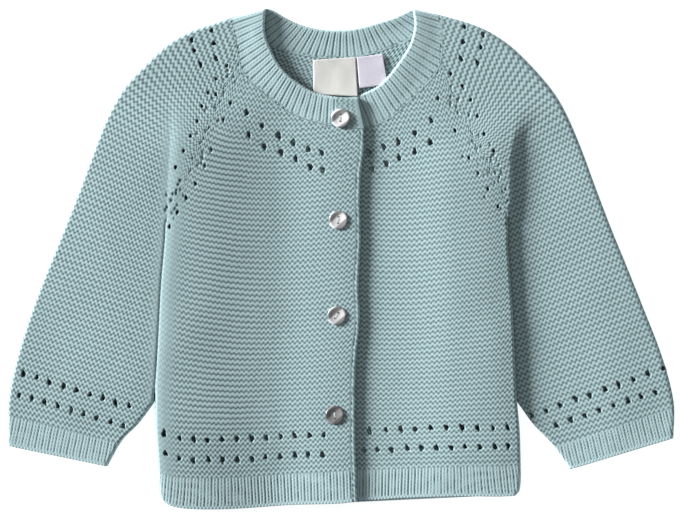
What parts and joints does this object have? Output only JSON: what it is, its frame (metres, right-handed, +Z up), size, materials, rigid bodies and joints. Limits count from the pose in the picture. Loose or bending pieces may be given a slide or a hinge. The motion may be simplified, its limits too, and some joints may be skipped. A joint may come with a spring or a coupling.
{
  "type": "baby's knitted cardigan",
  "caption": "Baby's raglan cardigan in garter stitch with lace rows, ribbed hem, cuffs and neckband, buttoned up and laid flat.",
  "frame": {"origin": "middle of the garment's outline, on the surface that its back lies on", "axes": "+Z up out of the front, +Y from the hem to the collar, +X from the wearer's right cuff to the left one"},
  "size_m": [0.4003, 0.3006, 0.0102],
  "materials": {
    "back": "matt cotton yarn, knitted",
    "front_right": "matt cotton yarn, knitted",
    "front_left": "matt cotton yarn, knitted",
    "sleeve_right_top": "matt cotton yarn, knitted",
    "sleeve_right_under": "matt cotton yarn, knitted",
    "sleeve_left_top": "matt cotton yarn, knitted",
    "sleeve_left_under": "matt cotton yarn, knitted",
    "neckband_right": "matt cotton yarn, knitted",
    "neckband_left": "matt cotton yarn, knitted",
    "neckband_back": "matt cotton yarn, knitted",
    "button_1": "grey-white shell with a soft pearly shine",
    "button_2": "grey-white shell with a soft pearly shine",
    "button_3": "grey-white shell with a soft pearly shine",
    "button_4": "grey-white shell with a soft pearly shine",
    "label_main": "woven white tape, bare",
    "label_size": "woven white tape, bare"
  },
  "bodies": {
    "root": {"back": "back", "front_right": "front_right", "front_left": "front_left", "sleeve_right_top": "sleeve_right_top", "sleeve_right_under": "sleeve_right_under", "sleeve_left_top": "sleeve_left_top", "sleeve_left_under": "sleeve_left_under", "neckband_right": "neckband_right", "neckband_left": "neckband_left", "neckband_back": "neckband_back", "button_1": "button_1", "button_2": "button_2", "button_3": "button_3", "button_4": "button_4", "label_main": "label_main", "label_size": "label_size"}
  },
  "joints": []
}
